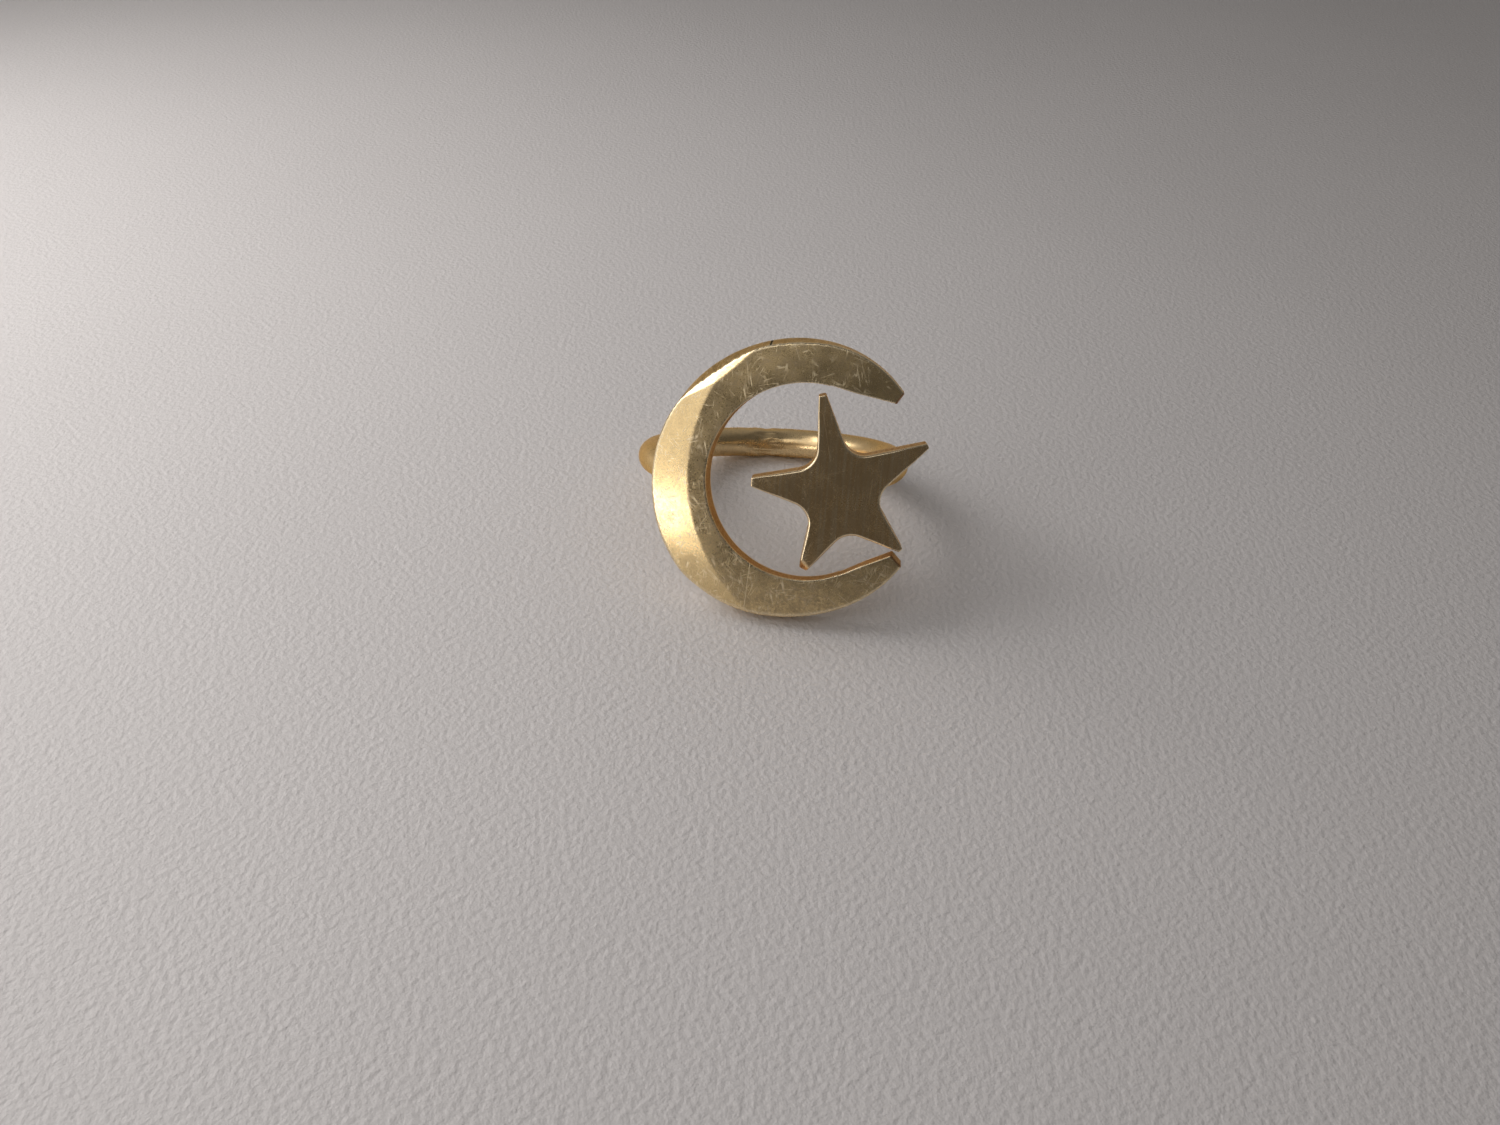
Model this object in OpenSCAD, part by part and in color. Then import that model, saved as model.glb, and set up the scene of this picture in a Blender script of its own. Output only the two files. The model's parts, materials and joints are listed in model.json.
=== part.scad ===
// A hand-made brass finger ring: a crescent moon and a five-pointed star, cut from sheet,
// stand on the two ends of one bent round wire. The ring lies on its side as if put down
// on a table: the moon's lower edge and the back of the wire touch the table at z = 0.
//
// Every piece is drawn in the ring's own axes and then laid down:
//   x runs across the head, y along the finger, z out of the finger hole to the head.

/* [Shank] */
// Inside diameter of the finger hole; 17.3 is a common ring size
finger_d = 17.3; // [14:0.1:21]
// Diameter of the round wire that the shank is bent from
wire_d = 2.6; // [2.1:0.1:3.2]
// Angle from the head to the cut end of the wire under the moon
moon_end_angle = 40; // [37:1:44]
// Angle from the head to the cut end of the wire under the star
star_end_angle = 26; // [24:1:34]

/* [Sheet] */
// Thickness of the sheet that the moon and the star are cut from
sheet_t = 2; // [1.6:0.1:2.4]
// Radius of the shallow dome that the moon's face is formed to
dome_r = 70; // [55:1:200]
// How far the moon leans to the left about the finger's direction, in degrees
moon_lean = 6; // [3:0.5:8]
// How far the star leans the same way, in degrees
star_lean = 3; // [0:0.5:5]
// Height of the star's back above the finger hole
star_lift = 0.3; // [0.1:0.05:0.6]
// How far the moon's back comes down past the middle of the wire's end
seat_depth = 0.97; // [0.6:0.01:1.2]

/* [Moon] */
// Diameter of the circles that the moon's outer edge is cut to
moon_d = 20.8; // [19:0.1:25]
// How far apart the centres of those two circles are, which stretches the edge
moon_stretch = 0.5; // [0.2:0.1:1.2]
// Direction of the stretch, in degrees up from the head's width
moon_stretch_angle = 60; // [30:5:80]
// How far the moon's centre is below the plane of the shank
moon_drop = 0.34; // [0:0.01:1]
// Diameter of the moon's round opening
moon_hole_d = 14.9; // [12.4:0.1:17]
// How far the opening is to the right of the moon's centre
moon_hole_right = 1.16; // [0.6:0.01:2]
// How far the opening is above the moon's centre
moon_hole_up = 0.12; // [0:0.01:0.5]
// How far the cut end of the wire keeps back from the opening's edge
limb_margin = 0.315; // [0.2:0.005:0.6]

/* [Horns] */
// Angle up from the head's width where the upper horn's straight edge leaves the round opening
upper_horn_start = 72; // [68:1:76]
// Slope of that straight edge, in degrees down
upper_horn_slope = 12; // [8:1:14]
// Length of that straight edge
upper_horn_length = 4.1; // [3:0.05:5]
// Slant of the upper horn's cut end, in degrees up
upper_cut_slant = 56; // [40:1:70]
// Angle down from the head's width where the lower horn's straight edge leaves the opening
lower_horn_start = 60; // [56:1:64]
// Slope of that straight edge, in degrees up
lower_horn_slope = 23; // [18:1:25]
// Distance from that horn's inner corner to the star's lower right point
lower_horn_gap = 1.03; // [0.8:0.01:1.6]
// Slant of the lower horn's cut end, in degrees down
lower_cut_slant = 46; // [35:1:60]

/* [Worn edges of the moon] */
// Width of the bevel down the moon's broad side, at its widest
bevel_w = 3; // [1:0.1:3.6]
// Radius of the crease where that bevel starts
bevel_crease_r = 13.6; // [12:0.1:16]
// How much steeper than the dome the bevel is, in degrees
bevel_slope = 9; // [4:1:14]
// Direction from the moon's centre to the filed flat on its edge, in degrees
flat_direction = 129; // [110:1:150]
// Width of the filed flat at its middle
flat_w = 0.9; // [0.4:0.05:1.4]
// How steep the filed flat is, in degrees
flat_slope = 35; // [20:1:50]

/* [Star] */
// Gap between the star's lower left point and the edge of the moon's opening
star_foot_gap = 0.72; // [0.4:0.02:1.2]
// Gap above the star's upper point, allowed for when the star is cut
star_top_gap = 0.79; // [0.4:0.02:1.2]
// Direction in which the foot points at the opening's edge, in degrees
star_foot_direction = -88; // [-92:1:-84]
// Height of the star divided by the mean length of its arms
star_height_ratio = 1.94; // [1.9:0.01:2]
// Radius of the fillets between the arms
star_fillet_r = 1.65; // [0.8:0.05:1.9]

/* [Solder] */
// How far the solder creeps down from the plates
solder_h = 0.55; // [0.3:0.05:0.8]
// How far the solder spreads out from the wire
solder_spread = 0.4; // [0.2:0.05:0.6]

/* [Hidden] */

// The star's arms clockwise from the top: direction, length over the mean, width of the tip
arms = [[104, 1.04, 0.55], [29.5, 1.045, 0.4], [-43, 0.95, 0.35], [-112, 0.99, 0.6], [178, 0.98, 0.68]];
horn_arm = 2;
foot_arm = 3;
// The corners between those arms, before they are filleted: direction, distance over the mean
valleys = [[76, 0.352], [-11, 0.377], [-80, 0.47], [-141.5, 0.39], [139.5, 0.36]];
fillet_steps = 8;

brass = [0.72, 0.62, 0.36];
dark_brass = [0.5, 0.43, 0.24];
solder_grey = [0.62, 0.6, 0.5];
round_fn = 120;
dome_fn = 300;
// Larger than the ring
far = 40;
// Height of the slab that the moon's outline is cut through, half of it above the face
slab_h = 20;
// Height of the bevel's cone below its crease
bevel_skirt = 12;
// Turns of the bars that the solder is cut from and cleared with, in degrees
solder_turn = 50;
clearing_turn = 80;
// How far the solder goes past the wire's cut ends, in degrees of turn
moon_end_cover = 4;
star_end_cover = 2;

wire_r = wire_d / 2;
finger_r = finger_d / 2;
hoop_r = finger_r + wire_r;
moon_hole_r = moon_hole_d / 2;
back_r = dome_r - sheet_t;

// The moon's place: its broad limb covers the end of the wire, and the wire's end reaches
// seat_depth past the moon's back, where it is filed away to fit.
moon_x = limb_margin - finger_r * sin(moon_end_angle) + (moon_hole_r - moon_hole_right) * cos(moon_lean);
end_x = -hoop_r * sin(moon_end_angle);
seat_z = hoop_r * cos(moon_end_angle) + wire_r - seat_depth;
dome_centre_x = moon_x + dome_r * sin(moon_lean);
dome_centre_z = seat_z - sqrt(pow(back_r, 2) - pow(end_x - dome_centre_x, 2) - pow(moon_drop, 2));
moon_z = dome_centre_z + dome_r * cos(moon_lean);

// The star's place: its foot stands star_foot_gap inside the moon's opening.
star_r = (moon_hole_d - star_foot_gap - star_top_gap) / star_height_ratio;
foot = polar(moon_hole_r - star_foot_gap, star_foot_direction);
star_offset = foot - polar(arms[foot_arm][1] * star_r, arms[foot_arm][0]);
horn_point = star_offset + polar(arms[horn_arm][1] * star_r, arms[horn_arm][0]);
star_x = moon_x + moon_hole_right * cos(moon_lean) + star_offset[0];
star_y = moon_hole_up - moon_drop + star_offset[1];
star_z = finger_r + star_lift + sheet_t;

// How the ring lies: the moon's lowest back edge and the back of the shank touch the table.
low_x = -moon_stretch / 2 * cos(moon_stretch_angle);
low_y = moon_d / 2 + moon_stretch / 2 * sin(moon_stretch_angle);
low_back_z = sqrt(pow(back_r, 2) - pow(low_y, 2)) - dome_r;
low_front_z = sqrt(pow(dome_r, 2) - pow(low_y, 2)) - dome_r;
rest_y = low_y + moon_drop;
rest_z = moon_z + low_x * sin(moon_lean) + low_back_z * cos(moon_lean);
lean_back = atan2(rest_y, hoop_r + rest_z) - asin(wire_r / norm([rest_y, hoop_r + rest_z]));
shank_height = hoop_r * sin(lean_back) + wire_r;
front_y = -rest_y * sin(lean_back) - (moon_z + low_front_z) * cos(lean_back);
back_y = hoop_r * cos(lean_back) + wire_r;
right_x = star_x + arms[1][1] * star_r * cos(arms[1][0]);
left_x = -hoop_r - wire_r;

function polar(r, a) = [r * cos(a), r * sin(a)];
function unit(v) = v / norm(v);

// Where a line from start, along a unit direction, first comes within a gap of a point
function line_end(start, direction, point, gap) =
    let (
        along = (point - start) * direction,
        apart = norm(point - start - along * direction)
    )
    start + (along - sqrt(max(0, pow(gap, 2) - pow(apart, 2)))) * direction;

// The two corners of an arm's blunt tip, clockwise
function tip(arm) = [
    for (side = [1, -1])
        polar(arm[1] * star_r, arm[0]) + polar(side * arm[2] / 2, arm[0] + 90)
];

// Points round the fillet in the corner c between the edges that come from a and go to b
function fillet(a, c, b) =
    let (
        to_a = unit(a - c),
        to_b = unit(b - c),
        half = acos(to_a * to_b) / 2,
        centre = c + unit(to_a + to_b) * star_fillet_r / sin(half),
        start = c + to_a * star_fillet_r / tan(half) - centre,
        turn = 180 - 2 * half
    )
    [
        for (i = [0 : fillet_steps])
            let (angle = turn * i / fillet_steps, along = cos(angle), across = sin(angle))
                centre + [start[0] * along - start[1] * across, start[0] * across + start[1] * along]
    ];

// The star's outline, clockwise: each blunt tip, then the fillet to the next arm
function star_points() = [
    for (i = [0 : len(arms) - 1])
        let (
            this = tip(arms[i]),
            next = tip(arms[(i + 1) % len(arms)]),
            corner = polar(valleys[i][1] * star_r, valleys[i][0])
        )
        each concat(this, fillet(this[1], corner, next[0]))
];

// Turns the ring's own axes so that it lies on the table, centred over the origin
module lay_down() {
    translate([-(left_x + right_x) / 2, -(front_y + back_y) / 2, shank_height])
        rotate([90 - lean_back, 0, 0])
            children();
}

module at_moon() {
    translate([moon_x, -moon_drop, moon_z])
        rotate([0, -moon_lean, 0])
            children();
}

module at_star() {
    translate([star_x, star_y, star_z])
        rotate([0, -star_lean, 0])
            children();
}

// A round bar bent round the finger, from one angle off the head to another, over the back
module bent_bar(bar_r, from_angle, to_angle) {
    rotate([90, 0, 0])
        rotate_extrude(angle = to_angle - from_angle, start = 90 + from_angle, $fn = round_fn)
            translate([hoop_r, 0])
                circle(r = bar_r, $fn = round_fn / 2);
}

// The outer edge: two circles a little apart
module moon_edge() {
    for (side = [-1, 1])
        translate(polar(side * moon_stretch / 2, moon_stretch_angle))
            circle(d = moon_d, $fn = dome_fn);
}

// The opening: a round hole that runs out straight to the cut ends of the two horns.
// The straight edges start a little inside the round, so that they cross it cleanly.
module moon_opening() {
    upper_line = polar(1, -upper_horn_slope);
    lower_line = polar(1, lower_horn_slope);
    upper_start = polar(moon_hole_r, upper_horn_start);
    lower_start = polar(moon_hole_r, -lower_horn_start);
    upper_tip = upper_start + upper_horn_length * upper_line;
    lower_tip = line_end(lower_start, lower_line, horn_point, lower_horn_gap);
    translate([moon_hole_right, moon_hole_up]) {
        circle(r = moon_hole_r, $fn = dome_fn);
        polygon([
            [0, 0],
            upper_start - upper_line,
            upper_tip,
            upper_tip + polar(far, upper_cut_slant),
            lower_tip + polar(far, -lower_cut_slant),
            lower_tip,
            lower_start - lower_line
        ]);
    }
}

module moon_outline() {
    difference() {
        moon_edge();
        moon_opening();
    }
}

// The space under the moon's face or back, down from a sphere about the dome's centre
module under_dome(sphere_r) {
    translate([0, 0, -dome_r])
        sphere(r = sphere_r, $fn = dome_fn);
}

// What is left below the conical bevel: its crease is a circle on the dome
module under_bevel() {
    crease_angle = asin(bevel_crease_r / dome_r);
    crease_x = bevel_w + bevel_crease_r - moon_d / 2 - moon_stretch / 4;
    fall = tan(crease_angle + bevel_slope);
    translate([0, 0, -dome_r])
        rotate([0, asin(crease_x / dome_r), 0])
            translate([0, 0, dome_r * cos(crease_angle) - bevel_skirt])
                cylinder(
                    h = bevel_skirt + bevel_crease_r * fall,
                    r1 = bevel_crease_r + bevel_skirt / fall,
                    r2 = 0,
                    $fn = dome_fn
                );
}

// The waste that the file took off the edge to leave the flat
module flat_waste() {
    reach = moon_d / 2 - flat_w;
    depth = dome_r - sqrt(pow(dome_r, 2) - pow(reach, 2));
    rotate(flat_direction)
        translate([reach, 0, -depth])
            rotate([0, flat_slope, 0])
                translate([-slab_h / 2, -far / 2, 0])
                    cube(far);
}

module moon_plate() {
    color(brass)
        lay_down()
            at_moon()
                difference() {
                    intersection() {
                        translate([0, 0, -slab_h / 2])
                            linear_extrude(slab_h)
                                moon_outline();
                        under_dome(dome_r);
                        under_bevel();
                    }
                    under_dome(back_r);
                    flat_waste();
                }
}

module star_plate() {
    color(dark_brass)
        lay_down()
            at_star()
                translate([0, 0, -sheet_t])
                    linear_extrude(sheet_t)
                        polygon(star_points());
}

// The space behind the star's back, measured down from it
module behind_star(depth) {
    at_star()
        translate([-far, -far, -sheet_t - depth])
            cube([2 * far, 2 * far, depth]);
}

module shank_wire() {
    color(brass)
        lay_down()
            intersection() {
                bent_bar(wire_r, moon_end_angle, 360 - star_end_angle);
                at_moon()
                    under_dome(back_r);
                behind_star(far);
            }
}

// Solder that crept along the wire under the moon, and over its cut end
module moon_solder() {
    color(solder_grey)
        lay_down()
            difference() {
                intersection() {
                    bent_bar(
                        wire_r + solder_spread,
                        moon_end_angle - moon_end_cover,
                        moon_end_angle + solder_turn
                    );
                    at_moon()
                        translate([0, 0, -slab_h / 2])
                            linear_extrude(slab_h / 2)
                                moon_outline();
                    at_moon()
                        under_dome(back_r);
                }
                at_moon()
                    under_dome(back_r - solder_h);
                bent_bar(wire_r, moon_end_angle, moon_end_angle + clearing_turn);
            }
}

// Solder that crept along the wire under the star, and over its cut end
module star_solder() {
    last_angle = 360 - star_end_angle;
    color(solder_grey)
        lay_down()
            difference() {
                intersection() {
                    bent_bar(
                        wire_r + solder_spread,
                        last_angle - solder_turn,
                        last_angle + star_end_cover
                    );
                    at_star()
                        translate([0, 0, -sheet_t - solder_h])
                            linear_extrude(solder_h)
                                polygon(star_points());
                }
                bent_bar(wire_r, last_angle - clearing_turn, last_angle);
            }
}

shank_wire();
moon_plate();
star_plate();
moon_solder();
star_solder();
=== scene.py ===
"""A hand-made brass finger ring with a crescent moon and a star, lying on its side.

The pieces are built in millimetres in their own axes and placed in the ring's axes, which
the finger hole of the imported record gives: x across the head, y along the finger, z from
the middle of the hole out to the head. Sizes with the same names as in the CAD source have
the same values, but for BEVEL_CREASE_R, which is 13.6 there.
"""

import json
import math

import bpy
import numpy as np
from mathutils import Matrix, Vector, noise


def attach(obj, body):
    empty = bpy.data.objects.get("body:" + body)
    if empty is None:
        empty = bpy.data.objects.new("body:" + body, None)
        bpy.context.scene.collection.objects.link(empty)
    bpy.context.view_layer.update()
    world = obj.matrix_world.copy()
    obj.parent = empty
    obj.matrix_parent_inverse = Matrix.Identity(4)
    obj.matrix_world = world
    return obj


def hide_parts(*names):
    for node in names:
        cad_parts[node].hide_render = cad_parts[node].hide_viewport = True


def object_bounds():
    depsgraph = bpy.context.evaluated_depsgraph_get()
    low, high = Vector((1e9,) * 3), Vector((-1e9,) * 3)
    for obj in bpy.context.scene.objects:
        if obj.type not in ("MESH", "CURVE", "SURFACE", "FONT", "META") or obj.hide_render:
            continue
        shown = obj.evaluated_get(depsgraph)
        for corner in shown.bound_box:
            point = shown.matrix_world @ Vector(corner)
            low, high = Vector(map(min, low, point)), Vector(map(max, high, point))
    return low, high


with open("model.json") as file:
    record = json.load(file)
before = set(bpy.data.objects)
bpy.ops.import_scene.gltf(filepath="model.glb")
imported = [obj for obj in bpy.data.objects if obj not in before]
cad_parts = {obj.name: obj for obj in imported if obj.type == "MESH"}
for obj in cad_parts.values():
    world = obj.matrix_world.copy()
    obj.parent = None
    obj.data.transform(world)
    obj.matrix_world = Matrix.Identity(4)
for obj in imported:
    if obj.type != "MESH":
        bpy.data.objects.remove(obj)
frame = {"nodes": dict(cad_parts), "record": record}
CAD_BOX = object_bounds()
# One millimetre in metres
MM = 0.001

# Shank
FINGER_D = 17.3
WIRE_R = 1.3
HOOP_R = FINGER_D / 2 + WIRE_R
MOON_END_ANGLE = 40.0
STAR_END_ANGLE = 26.0

# Sheet
SHEET_T = 2.0
DOME_R = 70.0
BACK_R = DOME_R - SHEET_T
MOON_LEAN = 6.0
STAR_LEAN = 3.0
STAR_LIFT = 0.3
SEAT_DEPTH = 0.97

# Moon
MOON_HOLE_R = 7.45
MOON_HOLE = (1.16, 0.12)
MOON_DROP = 0.34
LIMB_MARGIN = 0.315

# Bevel down the moon's broad side, and the flat filed on its upper left edge
BEVEL_CREASE_R = 13.67
BEVEL_CREASE = (6.075, 0.4)
BEVEL_SLOPE = 9.0
FLAT_DIRECTION = 129.0
FLAT_REACH = 9.3
FLAT_SLOPE = 35.0

# Star: each arm is its direction, its length over the mean and the width of its tip
STAR_R = 6.902
ARMS = (
    (104, 1.04, 0.55),
    (29.5, 1.045, 0.4),
    (-43, 0.95, 0.35),
    (-112, 0.99, 0.6),
    (178, 0.98, 0.68),
)
# Each valley's direction and its distance from the middle over the mean
VALLEYS = ((76, 0.352), (-11, 0.377), (-80, 0.47), (-141.5, 0.39), (139.5, 0.36))
FOOT_ARM = 3
FOOT_DIRECTION = -88.0
FOOT_GAP = 0.72
FILLET_R = 1.65


def polar(radius, degrees):
    """The point at that radius and direction in a plane."""
    turn = math.radians(degrees)
    return np.array((radius * math.cos(turn), radius * math.sin(turn)))


def ways(degrees):
    """Unit vectors in a plane, one for each direction."""
    turn = np.radians(degrees)
    return np.stack((np.cos(turn), np.sin(turn)), 1)


def bump(degrees, direction, height, half_width):
    """A smooth rise round one direction."""
    away = (degrees - direction + 180) % 360 - 180
    return height * np.exp(-0.5 * (away / half_width) ** 2)


def bumps(degrees, rises):
    """Several such rises together."""
    return sum(bump(degrees, *rise) for rise in rises)


def smooth_min(a, b, width):
    """The lower of two surfaces, with the crease between them rounded over that width."""
    blend = np.clip(0.5 + 0.5 * (b - a) / width, 0.0, 1.0)
    return b * (1 - blend) + a * blend - width * blend * (1 - blend)


def edge_drop(inset, radius):
    """How far a rounded edge has fallen at that distance in from the wall."""
    short = np.clip(radius - inset, 0.0, radius)
    return radius - np.sqrt(radius**2 - short**2)


def ripple(points, waves):
    """How far slow unevenness left by hand work lifts each point, in millimetres."""
    rise = np.zeros(len(points))
    for per_mm, depth, seed in waves:
        offset = Vector((seed, -seed, 0.5 * seed))
        rise += depth * np.array([noise.noise(Vector(p) * per_mm + offset) for p in points])
    return rise


def loop_faces(loops, columns):
    """Quads between closed loops of points stored one loop after another."""
    faces = []
    for low in range(0, (loops - 1) * columns, columns):
        high = low + columns
        for j in range(columns):
            k = (j + 1) % columns
            faces.append((low + j, low + k, high + k, high + j))
    return faces


def fan_faces(first, count, centre, flip=False):
    """Triangles from a closed loop of points to one centre point."""
    faces = [(first + i, first + (i + 1) % count, centre) for i in range(count)]
    return [face[::-1] for face in faces] if flip else faces


def make_piece(name, points, faces, axes, marks):
    """A smooth mesh from points in millimetres in the piece's own axes, with its marks."""
    mesh = bpy.data.meshes.new(name)
    mesh.from_pydata([tuple(MM * value for value in p) for p in points], [], faces)
    mesh.polygons.foreach_set("use_smooth", [True] * len(mesh.polygons))
    for mark, values in marks.items():
        layer = mesh.attributes.new(mark, "FLOAT", "POINT")
        layer.data.foreach_set("value", np.asarray(values, np.float32))
    mesh.update()
    piece = bpy.data.objects.new(name, mesh)
    bpy.context.scene.collection.objects.link(piece)
    piece.matrix_world = axes
    return piece


# The ring's axes in the row frame
def ring_axes():
    """The matrix that lays the ring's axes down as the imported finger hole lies."""
    hole = frame["record"]["mounts"][0]
    along = Vector(hole["axis"]).normalized()
    across = Vector((1, 0, 0))
    outward = across.cross(along)
    axes = Matrix((across, along, outward)).transposed().to_4x4()
    axes.translation = Vector(hole["pos_m"])
    return axes


def placed(x, y, z, lean):
    """The matrix of a plate's own axes: at that point of the ring, leaning to the left."""
    move = Matrix.Translation(Vector((x, y, z)) * MM)
    return RING @ move @ Matrix.Rotation(math.radians(-lean), 4, "Y")


def moon_place():
    """The moon's origin in the ring's axes: its back sits on the cut end of the wire."""
    lean = math.radians(MOON_LEAN)
    end = math.radians(MOON_END_ANGLE)
    x = LIMB_MARGIN - FINGER_D / 2 * math.sin(end) + (MOON_HOLE_R - MOON_HOLE[0]) * math.cos(lean)
    seat_x = -HOOP_R * math.sin(end)
    seat_z = HOOP_R * math.cos(end) + WIRE_R - SEAT_DEPTH
    centre_x = x + DOME_R * math.sin(lean)
    centre_z = seat_z - math.sqrt(BACK_R**2 - (seat_x - centre_x) ** 2 - MOON_DROP**2)
    return x, -MOON_DROP, centre_z + DOME_R * math.cos(lean)


def star_place():
    """The star's origin in the ring's axes: its foot stands just inside the moon's opening."""
    foot = polar(MOON_HOLE_R - FOOT_GAP, FOOT_DIRECTION)
    offset = foot - polar(ARMS[FOOT_ARM][1] * STAR_R, ARMS[FOOT_ARM][0])
    x = moon_place()[0] + MOON_HOLE[0] * math.cos(math.radians(MOON_LEAN)) + offset[0]
    return x, MOON_HOLE[1] - MOON_DROP + offset[1], FINGER_D / 2 + STAR_LIFT + SHEET_T


RING = ring_axes()
MOON = placed(*moon_place(), MOON_LEAN)
STAR = placed(*star_place(), STAR_LEAN)


# Camera
CAMERA_PLACE = (-1.61, -74.98, 61.55)
CAMERA_TILT = 48.81
CAMERA_ROLL = 2.19
LENS = 27.05


def add_camera():
    """The camera where the photograph was taken from."""
    camera = bpy.data.objects.new("camera", bpy.data.cameras.new("camera"))
    bpy.context.scene.collection.objects.link(camera)
    camera.data.lens = LENS
    camera.data.sensor_width = 36.0
    camera.data.clip_start = 0.001
    camera.data.clip_end = 20.0
    tilt = Matrix.Rotation(math.radians(CAMERA_TILT), 4, "X")
    roll = Matrix.Rotation(math.radians(CAMERA_ROLL), 4, "Z")
    camera.matrix_world = Matrix.Translation(Vector(CAMERA_PLACE) * MM) @ tilt @ roll
    bpy.context.scene.camera = camera


# Moon
MOON_MEAN_R = 10.62
# The hand-filed outline swings in and out: waves round the edge, depth, direction of a crest
MOON_WAVES = ((1, 0.055, 186.0), (2, 0.195, 52.4), (3, 0.091, 84.1), (4, 0.085, 51.7))
# A corner that the file left low on the broad side: direction, height, half its width in degrees
MOON_CORNER = (-138.0, 0.1, 5.0)
# Where the outer wall slants out to the back: direction, how far, half its width in degrees
WALL_SLANTS = ((125.0, 0.48, 13.0), (91.0, 0.25, 13.0))
# The same for the opening, where the back stands in past the face or short of it
INNER_SLANTS = ((180.0, 0.15, 40.0), (-85.0, -0.16, 45.0))
# How far the file marks vary the slant and the edge's rounding, and how fast round the moon
RAGGED_SLANT = 0.16
RAGGED_EDGE = 0.25
RAGGED_PER_DEGREE = 0.45
# Direction of the horns' ends from the moon's centre, and from the opening's centre
OUTER_ENDS = (41.8, -34.6)
INNER_ENDS = (44.7, -38.0)
# The straight edges inside the horns: direction and distance of each line from the opening
HORN_LINES = ((78.0, 7.409), (-67.0, 7.394))
HORN_CORNER = 0.25
# A horn's edge runs no further round from its line's foot than this, in radians, and the
# line's distance is worked out with no smaller cosine than this
HORN_TURN = 1.0
LEAST_COSINE = 0.2
# Rounding of the outer edge
EDGE_R = 0.14
# Where that edge is worn rounder: direction, how much, half its width in degrees
EDGE_WEAR = ((-92.0, 0.16, 22.0), (180.0, 0.04, 40.0))
# How brown the outer wall is beside the inner one
OUTER_WALL_SHADE = 0.15
# How far in from a worn edge its wear and painted highlight reach, over its rounding
WEAR_AND_HIGHLIGHT_REACH = 1.6
INNER_EDGE_R = 0.1
BACK_EDGE_R = 0.12
CREASE_SOFTNESS = 0.015
FLAT_SOFTNESS = 0.006
BEVEL_STEPS = 6
# The bevel's mark runs from -1 to 1 as the face falls this far past the crease
BEVEL_MARK_DEPTH = 0.05
# Hammer marks: waves per millimetre, depth in millimetres and seed
MOON_RIPPLES = ((0.28, 0.03, 3.0), (0.9, 0.008, 11.0))
# How far the cut ends of the horns stand proud, and the loops that round them off
END_PROUD = 0.16
END_STEPS = 6
END_LEAST = 0.3
MOON_STATIONS = 720
FACE_STEPS = 46
WALL_STEPS = 8
EDGE_STEPS = 7


def moon_edge_radius(degrees):
    """The outer edge's distance from the moon's centre."""
    radius = MOON_MEAN_R
    for waves, depth, crest in MOON_WAVES:
        radius = radius + depth * np.cos(np.radians(waves * (degrees - crest)))
    return radius + bump(degrees, *MOON_CORNER)


def moon_opening_radius(degrees):
    """The inner edge's distance from the opening's centre: a circle that runs out along two lines."""
    radius = np.full_like(degrees, MOON_HOLE_R)
    for direction, distance in HORN_LINES:
        turn = np.radians(degrees - direction)
        line = distance / np.maximum(np.cos(turn), LEAST_COSINE)
        on_horn = (np.sign(direction) * turn < 0) & (np.abs(turn) < HORN_TURN)
        line = np.where(on_horn, line, 0.0)
        radius = -smooth_min(-radius, -line, HORN_CORNER)
    return radius


def bevel_height(x, y, guess):
    """Height of the conical bevel, found by stepping down its axis."""
    axis_x = BEVEL_CREASE[0] / DOME_R
    axis_y = BEVEL_CREASE[1] / DOME_R
    axis_z = math.sqrt(1 - axis_x**2 - axis_y**2)
    crease = math.asin(BEVEL_CREASE_R / DOME_R)
    fall = math.tan(crease + math.radians(BEVEL_SLOPE))
    height = guess
    for _ in range(BEVEL_STEPS):
        along = x * axis_x + y * axis_y + (height + DOME_R) * axis_z
        radius = np.sqrt(np.maximum(x**2 + y**2 + (height + DOME_R) ** 2 - along**2, 0.0))
        surface = DOME_R * math.cos(crease) - (radius - BEVEL_CREASE_R) * fall
        height = height - (along - surface)
    return height


def moon_front(x, y):
    """Height of the moon's face, and how far it has fallen past the bevel's crease."""
    dome = np.sqrt(DOME_R**2 - x**2 - y**2) - DOME_R
    bevel = bevel_height(x, y, dome)
    reach_depth = DOME_R - math.sqrt(DOME_R**2 - FLAT_REACH**2)
    flat_axis = polar(1, FLAT_DIRECTION)
    out = x * flat_axis[0] + y * flat_axis[1] - FLAT_REACH
    flat = -reach_depth - out * math.tan(math.radians(FLAT_SLOPE))
    height = smooth_min(smooth_min(dome, bevel, CREASE_SOFTNESS), flat, FLAT_SOFTNESS)
    return height, dome - bevel


def moon_back(x, y):
    """Height of the moon's domed back."""
    return np.sqrt(BACK_R**2 - x**2 - y**2) - DOME_R


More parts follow.
